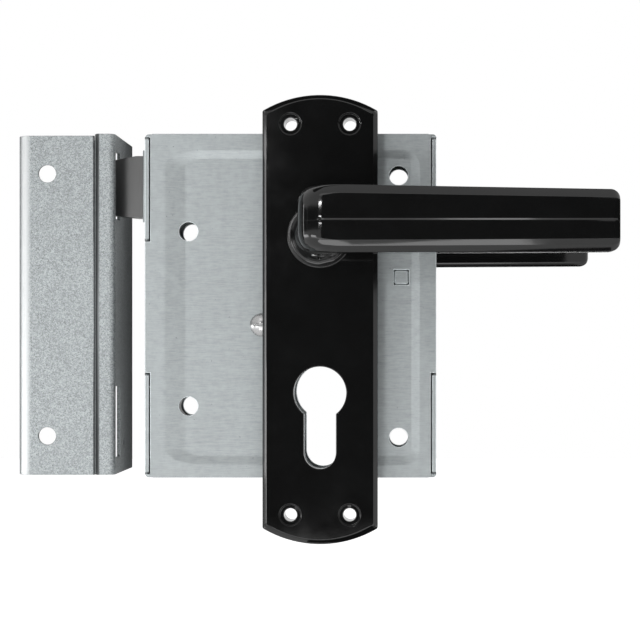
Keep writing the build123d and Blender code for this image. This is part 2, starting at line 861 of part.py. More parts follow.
def lever_grip():
    """The elbow and grip: a bent bar, tapered and bevelled, with a fine front groove."""
    front = -(plate_face + lever_reach)
    inner = front + grip_thickness
    foot = -(plate_face + neck_blend)
    neck_right_x = lever_left_x + neck_width
    plan = polygon(
        (lever_left_x, foot),
        (lever_left_x, front),
        (lever_tip_x, front),
        (lever_tip_x, inner),
        (neck_right_x, inner),
        (neck_right_x, foot),
    )
    plan = fillet(corners(plan, (lever_left_x, front)), elbow_outer_radius)
    plan = fillet(corners(plan, (neck_right_x, inner)), elbow_inner_radius)
    plan = fillet(corners(plan, (lever_tip_x, front), (lever_tip_x, inner)), tip_radius)
    top_z = lever_left_bottom_z + lever_left_height
    bar = upright(plan, lever_left_bottom_z, top_z)
    bar &= loft(
        [
            grip_section(lever_left_x, lever_left_bottom_z, lever_left_height).face(),
            grip_section(lever_tip_x, lever_tip_bottom_z, lever_tip_height).face(),
        ],
        ruled=True,
    )
    back_edges = bar.edges().filter_by(
        lambda edge: edge.center().Y > inner - elbow_inner_radius / 2
        and neck_right_x - tip_radius < edge.center().X < lever_tip_x - tip_radius
        and abs(edge.tangent_at(0.5).Z) < 0.1
    )
    bar = fillet(back_edges, grip_back_round)
    low = plate_face
    high = plate_face + lever_reach + cut_past
    return bar & slab(lever_front_outline(), low, high)


def lever_front_outline():
    """The lever's outline seen from the room, with its rounded corners."""
    left_top_z = lever_left_bottom_z + lever_left_height
    tip_top_z = lever_tip_bottom_z + lever_tip_height
    outline = polygon(
        (lever_left_x, lever_left_bottom_z),
        (lever_tip_x, lever_tip_bottom_z),
        (lever_tip_x, tip_top_z),
        (lever_left_x, left_top_z),
    )
    left = corners(outline, (lever_left_x, lever_left_bottom_z), (lever_left_x, left_top_z))
    outline = fillet(left, elbow_corner_radius)
    tip = corners(outline, (lever_tip_x, lever_tip_bottom_z), (lever_tip_x, tip_top_z))
    return fillet(tip, tip_radius)


def lever_bores():
    """What is cut out of a lever: spindle hole, ring groove and grub screw hole."""
    side = spindle_square + 2 * spindle_fit
    square = Pos(spindle_x, spindle_z) * Rectangle(side, side)
    cut = slab(square, 0, plate_face + spindle_in_lever)
    ring_top = plate_face - plate_wall - bush_past_wall - ring_side_gap
    ring_low = ring_top - ring_thickness
    groove = disc(
        2 * ring_outer_radius, spindle_x, spindle_z, ring_low - ring_fit, ring_top + ring_fit
    )
    groove_radius = ring_inner_radius - ring_fit
    groove -= disc(groove_radius, spindle_x, spindle_z, 0, plate_face)
    well = Pos(spindle_x, -(plate_face + grub_height)) * Circle(grub_radius + grub_fit)
    return cut + groove + upright(well, spindle_z - 2 * disc_radius, spindle_z)


def front_lever():
    """The lever handle: grip, elbow, neck, base disc and journal in one casting."""
    disc_low = plate_face + bush_flange_height + disc_gap
    disc_high = disc_low + disc_height
    foot = plate_face + neck_blend
    grip = lever_grip()
    base = Plane.XZ.offset(disc_high) * Pos(spindle_x, spindle_z) * Circle(neck_base_radius)
    foot_face = grip.faces().sort_by(Axis.Y)[-1]
    lever = grip + loft([base.face(), foot_face])
    lever += disc(disc_radius, spindle_x, spindle_z, disc_low, disc_high)
    journal_low = plate_face - plate_wall - bush_past_wall - ring_side_gap
    journal_low -= ring_thickness + journal_past_ring
    lever += disc(neck_journal_radius, spindle_x, spindle_z, journal_low, disc_low)
    groove_low_z = grip_groove_z - grip_groove_width / 2
    groove = block(
        lever_left_x + elbow_outer_radius,
        lever_tip_x - tip_radius,
        plate_face + lever_reach - grip_groove_depth,
        plate_face + lever_reach + cut_past,
        groove_low_z,
        groove_low_z + grip_groove_width,
    )
    return lever - groove - lever_bores()


def spindle():
    """The square bar through both levers and the follower."""
    side = Pos(spindle_x, spindle_z) * Rectangle(spindle_square, spindle_square)
    return slab(side, rose_face - spindle_in_lever, plate_face + spindle_in_lever)


def grub_screw():
    """The grub screw under the front lever's neck, tight on the spindle."""
    middle = Pos(spindle_x, -(plate_face + grub_height))
    top_z = spindle_z - spindle_square / 2
    low_z = top_z - grub_length
    screw = upright(middle * Circle(grub_radius), low_z, top_z)
    socket = middle * RegularPolygon(grub_socket_radius, 6)
    return screw - upright(socket, low_z - cut_past, low_z + grub_socket_depth)


def rear_rose():
    """The round rose on the far side of the door, hollow at its back."""
    rose = disc(rose_radius, spindle_x, spindle_z, rose_face, rose_back)
    rose = fillet(rose.faces().sort_by(Axis.Y)[-1].edges(), rose_edge_radius)
    inner = rose_radius - rose_wall
    rose -= disc(inner, spindle_x, spindle_z, rose_face + rose_wall, rose_back + cut_past)
    seat = bush_sleeve_radius + bush_seat_fit
    return rose - disc(seat, spindle_x, spindle_z, rose_face - cut_past, rose_back + cut_past)


def rear_copy(solid):
    """The same piece on the far side of the door, turned to face the other way."""
    return mirror(solid, about=Plane.XZ.offset((plate_face + rose_face) / 2))


def keep_sheet_path(radii, *points):
    """A bent sheet drawn by its middle line, seen from above, with a radius for each bend."""
    return trace(FilletPolyline(*points, radius=radii), keep_sheet)


def keep_face():
    """The keep's front sheet, folded back at the left on to the door frame."""
    line_x = keep_left_x + keep_sheet / 2
    line_y = -case_depth + keep_sheet / 2
    bend = keep_left_bend - keep_sheet / 2
    outline = keep_sheet_path(bend, (line_x, -frame_face), (line_x, line_y), (face_end_x, line_y))
    sheet = upright(outline, keep_bottom_z, keep_top_z - face_top_drop)
    seam_edges = sheet.edges().filter_by(Axis.Z).sort_by(Axis.X)[-2:].sort_by(Axis.Y)
    sheet = fillet(seam_edges[0], seam_round)
    hole_x = keep_left_x + keep_hole_from_left
    under = case_depth - keep_sheet - cut_past
    for side in (-1, 1):
        hole_z = keep_hole_mid_z + side * keep_hole_pitch / 2
        sheet -= disc(keep_hole_radius, hole_x, hole_z, under, case_depth + cut_past)
    return sheet


def keep_strike():
    """The keep's strike angle, joggled under the front sheet, with both bolt windows.

    The lap stops short of the front sheet's top, so only the strike shows above it.
    """
    line_x = keep_right_x - keep_sheet / 2
    line_y = -case_depth + keep_sheet / 2
    under_y = line_y + keep_sheet
    bend = keep_right_bend - keep_sheet / 2
    outline = keep_sheet_path(
        (bend, joggle_bend, joggle_bend),
        (line_x, -keep_back),
        (line_x, line_y),
        (seam_x + joggle_run / 2, line_y),
        (seam_x - joggle_run / 2, under_y),
        (seam_x - lap_width, under_y),
    )
    angle = upright(outline, keep_bottom_z, keep_top_z)
    angle -= block(
        seam_x - lap_width - cut_past,
        face_end_x,
        case_depth - 2 * keep_sheet - cut_past,
        case_depth + cut_past,
        keep_top_z - face_top_drop - lap_top_drop,
        keep_top_z + cut_past,
    )
    wall_x = keep_right_x - 2 * keep_sheet
    window_top = latch_top_z + latch_window_extra_top
    angle -= bolt_window(wall_x, keep_right_x + cut_past, latch_bottom_z, window_top)
    angle -= bolt_window(wall_x, keep_right_x + cut_past, deadbolt_bottom_z, deadbolt_top_z)
    nail_height = case_depth - nail_hole_depth
    return angle - pin(nail_hole_radius, wall_x, keep_right_x + cut_past, nail_height, nail_hole_z)


def write(name, solid):
    """Save one node and print its size."""
    export_step(solid, f"parts/{name}.step")
    size = solid.bounding_box().size
    count = len(solid.solids())
    print(f"{name:22} solids {count} volume {solid.volume:10.1f} size {size}")


write("case_body", case_body())
write("case_cover", case_cover())
write("guide_post", guide_post())
write("cover_screw", cover_screw())
write("tumbler_post", tumbler_post())
write("tumbler", tumbler())
write("tumbler_spring", tumbler_spring())
write("tumbler_spring_rivet", tumbler_spring_rivet())
write("follower", follower())
write("latch_head", latch_head())
write("latch_tail", latch_tail())
write("latch_rivets", latch_rivets())
write("latch_rod", latch_rod())
write("latch_spring", latch_spring())
write("spring_stop", spring_stop())
write("deadbolt_head", deadbolt_head())
write("deadbolt_tail", deadbolt_tail())
write("deadbolt_rivets", deadbolt_rivets())
write("front_plate", front_plate())
write("front_bush", front_bush())
write("front_ring", neck_ring())
write("front_lever", front_lever())
write("front_grub_screw", grub_screw())
write("spindle", spindle())
write("rear_rose", rear_rose())
write("rear_bush", rear_copy(front_bush()))
write("rear_ring", rear_copy(neck_ring()))
write("rear_lever", rear_copy(front_lever()))
write("rear_grub_screw", rear_copy(grub_screw()))
write("keep_face", keep_face())
write("keep_strike", keep_strike())
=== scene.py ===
# %% [markdown]
# # A rim lock, dressed in Blender
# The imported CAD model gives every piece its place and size. This lesson adds what a
# solid model leaves out: softened edges, a moulded lever skin, zinc, lacquer, light and
# a camera. Each step says what the real piece is, how it could be made and why this way
# was chosen. The lock lies with its back at Y = 0 and faces the room at -Y, with Z up.

# %% Load the frame
import json
import math

import bmesh
import bpy
import numpy as np
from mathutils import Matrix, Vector

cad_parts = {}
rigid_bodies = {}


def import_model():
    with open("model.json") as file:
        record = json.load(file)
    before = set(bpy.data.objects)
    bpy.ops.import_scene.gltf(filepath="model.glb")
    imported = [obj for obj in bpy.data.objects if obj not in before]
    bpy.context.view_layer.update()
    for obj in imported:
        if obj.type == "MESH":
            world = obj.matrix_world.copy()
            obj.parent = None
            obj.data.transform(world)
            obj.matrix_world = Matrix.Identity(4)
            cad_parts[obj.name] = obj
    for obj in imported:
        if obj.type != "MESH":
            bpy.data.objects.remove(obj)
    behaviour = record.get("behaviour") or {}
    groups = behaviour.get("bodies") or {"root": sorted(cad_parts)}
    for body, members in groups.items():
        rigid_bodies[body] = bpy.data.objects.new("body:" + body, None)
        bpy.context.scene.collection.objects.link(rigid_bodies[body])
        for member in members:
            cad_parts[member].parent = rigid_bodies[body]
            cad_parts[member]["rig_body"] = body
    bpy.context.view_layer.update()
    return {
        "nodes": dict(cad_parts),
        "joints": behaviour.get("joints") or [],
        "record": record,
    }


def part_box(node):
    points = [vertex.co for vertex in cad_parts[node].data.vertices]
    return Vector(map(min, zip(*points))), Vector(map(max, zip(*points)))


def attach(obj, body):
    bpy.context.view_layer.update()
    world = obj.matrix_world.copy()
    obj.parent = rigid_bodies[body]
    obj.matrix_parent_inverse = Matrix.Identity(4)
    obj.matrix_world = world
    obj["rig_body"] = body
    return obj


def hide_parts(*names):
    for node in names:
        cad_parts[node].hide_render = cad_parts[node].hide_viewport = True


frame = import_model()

mm = 0.001
nodes = frame["nodes"]

# %% [markdown]
# ## Measures from the frame
# The pieces made here replace CAD nodes, so they take their sizes from the boxes of
# those nodes. Heights are counted from the door towards the room, which is -Y, because
# that is how a lock maker reads them. All lengths are in millimetres until a mesh is made.


# %% Measures
def low_mm(node):
    """The lowest corner of a CAD node's box, in millimetres."""
    return np.array(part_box(node)[0]) / mm


def high_mm(node):
    """The highest corner of a CAD node's box, in millimetres."""
    return np.array(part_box(node)[1]) / mm


lever_joint = next(j for j in frame["joints"] if j["name"] == "lever_turn")
axis_x = lever_joint["pos_m"][0] / mm
axis_z = lever_joint["pos_m"][2] / mm
plate_front = -low_mm("front_plate")[1]
case_front = -low_mm("case_cover")[1]
print("lever axis at x", round(axis_x, 2), "z", round(axis_z, 2), "plate front", plate_front)

# %% [markdown]
# ## Camera
# The photograph looks straight at the case, a little above its lower half, from a bit
# more than half a metre: near enough that the keep's side wall and the far lever show.
# The camera stays level, and its shift slides the frame instead of turning the lens,
# which keeps upright edges upright as in the photograph.

# %% Camera
photo_width = 640
axis_px = (410.0, 350.0)
camera_distance = 580.0
scale_px_per_mm = 2.9145
camera_x = 41.0
camera_z = -15.2
sensor_width = 36.0

camera_data = bpy.data.cameras.new("camera")
camera = bpy.data.objects.new("camera", camera_data)
bpy.context.scene.collection.objects.link(camera)
camera.location = (camera_x * mm, -(camera_distance + case_front) * mm, camera_z * mm)
camera.rotation_euler = (math.radians(90), 0, 0)
camera_data.sensor_width = sensor_width
camera_data.lens = scale_px_per_mm * camera_distance / photo_width * sensor_width
camera_data.shift_x = (photo_width / 2 - axis_px[0]) / photo_width
camera_data.shift_y = (axis_px[1] - photo_width / 2) / photo_width
bpy.context.scene.camera = camera
print("camera lens", round(camera_data.lens, 1), "mm")

# %% [markdown]
# ## Material helper
# A material is a graph of nodes. Typing out every node and link hides the idea behind
# it, so one small helper adds a node, sets its fields and fills its inputs, either with
# a value or with another node's output.


# %% Material helper
def add(tree, kind, inputs=None, **fields):
    """Add a node to a tree, set its fields, and fill inputs with values or sockets."""
    node = tree.nodes.new(kind)
    for field, value in fields.items():
        setattr(node, field, value)
    for name, value in (inputs or {}).items():
        if isinstance(value, bpy.types.NodeSocket):
            tree.links.new(value, node.inputs[name])
        else:
            node.inputs[name].default_value = value
    return node


def start_material(name):
    """A new material, its tree, its principled shader and its object coordinates."""
    material = bpy.data.materials.new(name)
    material.use_nodes = True
    tree = material.node_tree
    shader = tree.nodes["Principled BSDF"]
    place = tree.nodes.new("ShaderNodeTexCoord").outputs["Object"]
    return material, tree, shader, place


def stretched(tree, place, scale):
    """The place, stretched along the axes so that a pattern gets a grain."""
    return add(tree, "ShaderNodeMapping", {"Vector": place, "Scale": scale}).outputs["Vector"]


def noise(tree, place, size_mm, detail=2.0, roughness=0.5):
    """Cloudy noise whose blotches are about size_mm across, from 0 to 1."""
    settings = {"Vector": place, "Scale": 1 / (size_mm * mm), "Detail": detail}
    settings["Roughness"] = roughness
    return add(tree, "ShaderNodeTexNoise", settings).outputs["Fac"]


def spread(tree, value, low, high, to_low, to_high):
    """A value moved from one range to another and kept inside it."""
    settings = {"Value": value, "From Min": low, "From Max": high}
    settings.update({"To Min": to_low, "To Max": to_high})
    return add(tree, "ShaderNodeMapRange", settings).outputs["Result"]


def blend_colours(tree, share, first, second, how="MIX"):
    """Two colours mixed by a share, each a colour or a socket."""
    node = add(tree, "ShaderNodeMix", data_type="RGBA", blend_type=how)
    sockets = (node.inputs[0], node.inputs[6], node.inputs[7])
    for socket, value in zip(sockets, (share, first, second)):
        if isinstance(value, bpy.types.NodeSocket):
            tree.links.new(value, socket)
        else:
            socket.default_value = value
    return node.outputs[2]


def bump(tree, shader, height, depth_mm, strength=1.0):
    """Let a height pattern of the given depth tilt the shader's normal."""
    settings = {"Height": height, "Distance": depth_mm * mm, "Strength": strength}
    node = add(tree, "ShaderNodeBump", settings)
    tree.links.new(node.outputs["Normal"], shader.inputs["Normal"])


def grey(level, blue=1.0):
    """A neutral colour, with its green and blue shares raised or lowered a little."""
    return (level, level * (1 + (blue - 1) * 0.8), level * blue, 1.0)


# %% [markdown]
# ## Zinc finishes
# Both boxes are zinc-coated sheet. The keep comes from a hot bath: its skin is freckled
# with fine crystals and dark specks. Along its left bend the zinc is painted lighter, a
# painted highlight, and along the seam where its two sheets lap it is painted darker, a
# painted shade. The case is plated: smooth, fine in grain and with faint long rubs from
# the rolling mill. A picture could carry all this, but a pattern made of noise has no edge
# and fits any view. Both are metal, so the pattern goes into colour, roughness and a very
# shallow bump together, as light reads all three.


# %% Zinc finishes
def galvanised_zinc(name, seam_x, bend_x):
    """Freckled zinc: cells and specks over clouds, painted shade on a seam, a painted highlight
    on a bend.
    """
    material, tree, shader, place = start_material(name)
    cell_scale = {"Vector": place, "Scale": 1 / (0.5 * mm), "Randomness": 1.0}
    cells = add(tree, "ShaderNodeTexVoronoi", cell_scale)
    flake = add(tree, "ShaderNodeSeparateColor", {"Color": cells.outputs["Color"]}).outputs[0]
    specks = spread(tree, noise(tree, place, 0.34, 3.0, 0.65), 0.3, 0.52, 0.0, 1.0)
    clouds = noise(tree, place, 14.0, 3.0)
    tone = blend_colours(tree, clouds, grey(0.24, 1.1), grey(0.33, 1.09))
    tone = blend_colours(tree, spread(tree, flake, 0, 1, 0.0, 0.7), tone, grey(0.54, 1.08))
    tone = blend_colours(tree, specks, grey(0.13, 1.08), tone)
    across = add(tree, "ShaderNodeSeparateXYZ", {"Vector": place}).outputs["X"]

    def beside(x, near_mm, far_mm):
        """A share that grows from 0 to 1 between two distances from a line."""
        away = add(tree, "ShaderNodeMath", {0: across, 1: x * mm}, operation="SUBTRACT")
        away = add(tree, "ShaderNodeMath", {0: away.outputs[0]}, operation="ABSOLUTE")
        return spread(tree, away.outputs[0], near_mm * mm, far_mm * mm, 0.0, 1.0)

    # painted highlight: lighter zinc along the keep's left bend
    tone = blend_colours(tree, beside(bend_x, 0.5, 2.4), grey(0.62, 1.03), tone)
    # painted shade: darker zinc along the seam between the keep's two sheets
    tone = blend_colours(tree, beside(seam_x, 0.4, 1.1), grey(0.13, 1.08), tone)
    tree.links.new(tone, shader.inputs["Base Color"])
    shader.inputs["Metallic"].default_value = 0.85
    rough = spread(tree, flake, 0, 1, 0.42, 0.58)
    tree.links.new(rough, shader.inputs["Roughness"])
    bump(tree, shader, specks, 0.03, 0.6)
    return material


def plated_zinc(name, dark, light):
    """Plated zinc: long faint rubs, soft clouds and a few small marks."""
    material, tree, shader, place = start_material(name)
    rubs = noise(tree, stretched(tree, place, (0.12, 1.0, 1.6)), 0.5, 3.0, 0.6)
    clouds = noise(tree, place, 22.0, 4.0)
    stains = spread(tree, noise(tree, place, 3.0, 4.0, 0.7), 0.35, 0.65, 0.0, 0.7)
    marks = spread(tree, noise(tree, place, 1.2, 2.0), 0.22, 0.27, 0.0, 1.0)
    tone = blend_colours(tree, clouds, grey(dark, 1.07), grey(light, 1.1))
    tone = blend_colours(tree, stains, tone, grey(dark * 0.86, 1.1))
    worn = spread(tree, rubs, 0.3, 0.7, 0.0, 0.5)
    tone = blend_colours(tree, worn, tone, grey(light + 0.1, 1.08))
    tone = blend_colours(tree, marks, grey(dark * 0.7, 1.07), tone)
    tree.links.new(tone, shader.inputs["Base Color"])
    shader.inputs["Metallic"].default_value = 0.85
    tree.links.new(spread(tree, rubs, 0.3, 0.7, 0.44, 0.56), shader.inputs["Roughness"])
    bump(tree, shader, rubs, 0.01, 0.6)
    return material


keep_seam_x = high_mm("keep_face")[0] + 0.9
keep_bend_x = low_mm("keep_face")[0] + 2.4
keep_zinc = galvanised_zinc("keep_zinc", keep_seam_x, keep_bend_x)
case_zinc = plated_zinc("case_zinc", 0.3, 0.365)
# rim zinc: partly the cut edge's own tone, partly a painted highlight along the rims
cut_and_highlight_zinc = plated_zinc("cut_edge_and_highlight_zinc", 0.74, 0.84)
post_zinc = plated_zinc("post_zinc", 0.3, 0.42)
print("zinc finishes:", [m.name for m in (keep_zinc, case_zinc, cut_and_highlight_zinc, post_zinc)])

# %% [markdown]
# ## Steel finishes
# The latch and the deadbolt are ground steel, darker than the zinc. Screws and rivets
# are tumbled bright, and springs are blued a little by their hardening.


# %% Steel finishes
def steel(name, level, rough_low, rough_high, grain_mm, tint=1.0):
    """Ground or tumbled steel: a grain that shifts tone and roughness."""
    material, tree, shader, place = start_material(name)
    grain = noise(tree, stretched(tree, place, (1.0, 1.0, 0.15)), grain_mm, 3.0, 0.6)
    clouds = noise(tree, place, 9.0, 3.0)
    tone = blend_colours(tree, clouds, grey(level * 0.88, tint), grey(level, tint))
    scratched = spread(tree, grain, 0.3, 0.7, 0.0, 0.3)
    tone = blend_colours(tree, scratched, tone, grey(level * 1.15, tint))
    tree.links.new(tone, shader.inputs["Base Color"])
    shader.inputs["Metallic"].default_value = 1.0
    rough = spread(tree, grain, 0.3, 0.7, rough_low, rough_high)
    tree.links.new(rough, shader.inputs["Roughness"])
    bump(tree, shader, grain, 0.004, 0.5)
    return material


bolt_steel = steel("bolt_steel", 0.125, 0.36, 0.5, 0.3)
bright_steel = steel("bright_steel", 0.42, 0.2, 0.32, 0.4)
spring_steel = steel("spring_steel", 0.36, 0.24, 0.36, 0.25, 1.06)
print("steel finishes:", bolt_steel.name, bright_steel.name, spring_steel.name)

# %% [markdown]
# ## Black finishes
# The lever and the long plate are sprayed with gloss lacquer. Sprayed lacquer is never a
# mirror: it has a faint orange peel a few millimetres wide, and dust and fingers leave
# patches that are a little less shiny. The bush is moulded in a black that is satin.


# %% Black finishes
def black_finish(name, rough_low, rough_high, peel_mm, peel_depth):
    """Black lacquer or moulding: near black, with peel in the bump and patchy gloss."""
    material, tree, shader, place = start_material(name)
    patches = noise(tree, place, 11.0, 4.0, 0.6)
    tone = blend_colours(tree, patches, grey(0.005), grey(0.0085, 1.05))
    tree.links.new(tone, shader.inputs["Base Color"])
    rough = spread(tree, patches, 0.3, 0.7, rough_low, rough_high)
    tree.links.new(rough, shader.inputs["Roughness"])
    shader.inputs["IOR"].default_value = 1.45
    bump(tree, shader, noise(tree, place, peel_mm, 1.0), peel_depth, 0.6)
    return material


black_lacquer = black_finish("black_lacquer", 0.05, 0.1, 2.6, 0.006)
black_moulding = black_finish("black_moulding", 0.22, 0.3, 0.8, 0.01)
print("black finishes:", black_lacquer.name, black_moulding.name)

# %% [markdown]
# ## Painting the nodes
# The record names a finish for every node. Nodes that stay as they are get a material
# straight away, and the slots are kept for the pieces that replace a node further on.
# The post in the square window is a cut end, a little darker than the plated sheet.

# %% Paint the nodes
finish_of_slot = {
    "zinc_case": case_zinc,
    "zinc_keep": keep_zinc,
    "bolt_steel": bolt_steel,
    "bright_steel": bright_steel,
    "spring_steel": spring_steel,
    "black_gloss": black_lacquer,
    "black_bush": black_moulding,
}
slot_of_node = {row["node"]: row["material_slot"] for row in frame["record"]["subparts"]}
finish_of_node = {name: finish_of_slot[slot] for name, slot in slot_of_node.items()}
finish_of_node["tumbler_post"] = post_zinc
for name, node in nodes.items():
    node.data.materials.clear()
    node.data.materials.append(finish_of_node[name])
print("painted", len(slot_of_node), "nodes")


# %% [markdown]
# ## Dressing helper
# A piece made here has to move with the body of the node that it stands for, take its
# finish from the same slot, and hide the node. The finish is given where each piece is
# made; one helper does the other two, so that no piece is left behind when a joint moves.


# %% Dressing helper
def dress(piece, node):
    """Let a piece stand for a CAD node: same body, and the node hidden."""
    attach(piece, nodes[node]["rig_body"])
    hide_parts(node)
    print(piece.name, "stands for", node, "with", len(piece.data.polygons), "faces")
    return piece


# %% [markdown]
# ## Softened edges
# A solid model has edges sharper than any real one, and a sharp edge never catches the
# light. Sheet that is blanked and rolled has a rim a tenth or two of a millimetre wide,
# and it shows as a fine bright line. A copy of the node is merged into clean faces, then
# a Bevel modifier cuts the rim and Weighted Normal keeps the flat faces flat. On plated
# sheet the rim is painted a much lighter zinc, partly its cut edge's own tone and partly
# a painted highlight. The folds round the lid's pressed field turn too little for a
# bevel. They are rounded by moving points instead, on a lid that is first cut into strips
# along its four slopes.


# %% Softened edges
def eased(share, ease=0.2):
    """A slope from 0 to 1 whose ends are rounded.

    The steepness grows evenly over the first part, stays level, and falls off over the
    last part. Its sum is a parabola, a straight line and a parabola again.
    """
    steep = 1 / (1 - ease)
    start = np.minimum(share, ease) ** 2 / (2 * ease)
    middle = np.clip(share - ease, 0, 1 - 2 * ease)
    last = np.maximum(share - (1 - ease), 0)
    return steep * (start + middle + last - last**2 / (2 * ease))


press_low = np.array([-44.0, -54.9])
press_high = np.array([44.7, 53.7])
press_round = 6.0
press_slope = 3.6
press_strips = 8
press_depth = 0.8
press_left_stretch = 2.4


def ease_press(work):
    """Sink the lid's field with rounded folds.

    A step is the corner radius less the distance to the nearer edge, one along X and one
    along Z. A point lies inside the outline by radius - length of the positive steps -
    the larger step where both are negative. That distance over the width of the slope is
    its share of the way down. On the left the distances are divided by a stretch, which
    makes this slope wider and fainter than the others.
    """
    lines = np.append(np.arange(0, press_round, press_slope / press_strips), press_round)
    for axis, row, stretch in ((0, 0, press_left_stretch), (2, 1, 1.0)):
        normal = np.eye(3)[axis]
        for cut in np.concatenate([press_low[row] + lines * stretch, press_high[row] - lines]):
            every = work.verts[:] + work.edges[:] + work.faces[:]
            plane = {"plane_co": normal * cut * mm, "plane_no": normal}
            bmesh.ops.bisect_plane(work, geom=every, dist=0.002 * mm, **plane)
    place = np.array([vert.co for vert in work.verts]) / mm
    from_low = (place[:, ::2] - press_low) / [press_left_stretch, 1.0]
    from_high = press_high - place[:, ::2]
    step = press_round - np.minimum(from_low, from_high)
    inside = press_round - np.linalg.norm(np.maximum(step, 0), axis=1)
    inside = inside - np.minimum(step.max(axis=1), 0)
    height = case_front - press_depth * eased(np.clip(inside / press_slope, 0, 1))
    within = (np.minimum(from_low, from_high) > 0).all(axis=1)
    moved = within & (-place[:, 1] > case_front - press_depth - 0.01)
    for vert, y, move in zip(work.verts, -height * mm, moved):
        if move:
            vert.co.y = y
    print("press:", press_depth, "mm deep,", int(moved.sum()), "points set")


sharp_turn = 35
shortest_rim = 0.25


def softened(node, width_mm, rim=None, shape=None):
    """A copy of a CAD node with merged flat faces and a rounded rim on each edge.

    The Bevel modifier takes the edges that turn by more than 35 degrees. It leaves out
    those under a quarter of a millimetre, where two rims would cross and make a spike.
    """
    work = bmesh.new()
    work.from_mesh(nodes[node].data)
    bmesh.ops.remove_doubles(work, verts=work.verts, dist=0.001 * mm)
    if shape:
        shape(work)
        bmesh.ops.remove_doubles(work, verts=work.verts, dist=0.001 * mm)
    bmesh.ops.dissolve_limit(
        work, angle_limit=math.radians(0.5), verts=work.verts, edges=work.edges
    )
    weight = work.edges.layers.float.new("bevel_weight_edge")
    for edge in work.edges:
        sharp = edge.calc_face_angle(0) > math.radians(sharp_turn)
        edge[weight] = float(sharp and edge.calc_length() > shortest_rim * mm)
    mesh = bpy.data.meshes.new(node + "_soft")
    work.to_mesh(mesh)
    work.free()
    for name in ("custom_normal", "sharp_face", "sharp_edge"):
        if name in mesh.attributes:
            mesh.attributes.remove(mesh.attributes[name])
    mesh.shade_smooth()
    mesh.materials.clear()
    mesh.materials.append(finish_of_node[node])
    piece = bpy.data.objects.new(node + "_soft", mesh)
    bpy.context.scene.collection.objects.link(piece)
    bevel = piece.modifiers.new("rim", "BEVEL")
    bevel.limit_method = "WEIGHT"
    bevel.width = width_mm * mm
    bevel.segments = 2
    bevel.use_clamp_overlap = False
    if rim:
        mesh.materials.append(rim)
        bevel.material = 1
    normals = piece.modifiers.new("flat_faces", "WEIGHTED_NORMAL")
    normals.keep_sharp = False
    return dress(piece, node)


rim_widths = {
    "case_body": (0.18, cut_and_highlight_zinc),
    "case_cover": (0.16, cut_and_highlight_zinc, ease_press),
    "keep_face": (0.2, None),
    "keep_strike": (0.2, None),
    "latch_head": (0.3, None),
    "deadbolt_head": (0.25, None),
    "tumbler_post": (0.15, cut_and_highlight_zinc),
    "front_plate": (0.3, None),
    "rear_rose": (0.3, None),
}
for node, widths in rim_widths.items():
    softened(node, *widths)

# %% [markdown]
# ## Surfaces from numbers
# The lever and the turned rings are surfaces with two parameters: how far along, and how
# far round. A whole surface is one array of rings, rows by columns by three. One helper
# turns such an array into a closed mesh, and one rounds the corners of an outline.


# %% Surface helpers
corner_steps = 6


def rounded(corners, radii, steps=corner_steps):
    """A closed outline with every corner turned into an arc.

    The unit vectors u and v to both neighbours make an angle. The arc starts and ends
    radius / tan(half the angle) from the corner, and its centre lies radius / sin(half
    the angle) along u + v. Points are spread over the arc by turning from start to end.
    corners has the shape (..., corners, 2) and radii (..., corners).
    """
    u = np.roll(corners, 1, axis=-2) - corners
    v = np.roll(corners, -1, axis=-2) - corners
    u = u / np.linalg.norm(u, axis=-1, keepdims=True)
    v = v / np.linalg.norm(v, axis=-1, keepdims=True)
    half = np.arccos(np.clip((u * v).sum(-1), -1, 1)) / 2
    middle = (u + v) / np.linalg.norm(u + v, axis=-1, keepdims=True)
    centre = corners + middle * (radii / np.sin(half))[..., None]
    start = corners + u * (radii / np.tan(half))[..., None] - centre
    end = corners + v * (radii / np.tan(half))[..., None] - centre
    turn = (np.pi - 2 * half)[..., None, None]
    share = np.linspace(0, 1, steps)[:, None]
    from_start = np.sin((1 - share) * turn) * start[..., None, :]
    from_end = np.sin(share * turn) * end[..., None, :]
    points = centre[..., None, :] + (from_start + from_end) / np.sin(turn)
    return points.reshape(*corners.shape[:-2], -1, 2)


def skin(name, rings, loop=False, sharp_deg=38):
    """A closed mesh from rings of points in millimetres, rows by columns by three.

    Each point is joined to the next one round and the next one along. The ends are
    closed by a face each, or to each other where the rings make a loop.
    """
    rows, columns = rings.shape[:2]
    index = np.arange(rows * columns).reshape(rows, columns)
    across = index if loop else index[:-1]
    along = np.roll(index, -1, axis=0) if loop else index[1:]
    quads = np.stack([across, np.roll(across, -1, 1), np.roll(along, -1, 1), along], -1)
    faces = quads.reshape(-1, 4).tolist()
    if not loop:
        faces += [index[0][::-1].tolist(), index[-1].tolist()]
    mesh = bpy.data.meshes.new(name)
    mesh.from_pydata((rings.reshape(-1, 3) * mm).tolist(), [], faces)
    work = bmesh.new()
    work.from_mesh(mesh)
    bmesh.ops.remove_doubles(work, verts=work.verts, dist=0.002 * mm)
    bmesh.ops.recalc_face_normals(work, faces=work.faces)
    work.to_mesh(mesh)
    work.free()
    mesh.shade_smooth()
    mesh.set_sharp_from_angle(angle=math.radians(sharp_deg))
    piece = bpy.data.objects.new(name, mesh)
    bpy.context.scene.collection.objects.link(piece)
    return piece


# %% [markdown]
# ## The lever
# The real lever is one casting: a round base, a neck that swells into a bar, a tight
# elbow, and a long grip with a broad bevel along both edges and a hairline groove in its
# face. It could be cut from blocks, but the bevel that fades into the elbow is then hard
# to make. Here it is a profile carried along a path: the ring starts as a square inside
# the spindle hole, turns into circles for the journal and the base, morphs into the bar's
# section, goes round the elbow and closes at the tip. The elbow's face is slightly
# crowned, so that a lamp shows in it as a short glint. The rear lever is its mirror image.

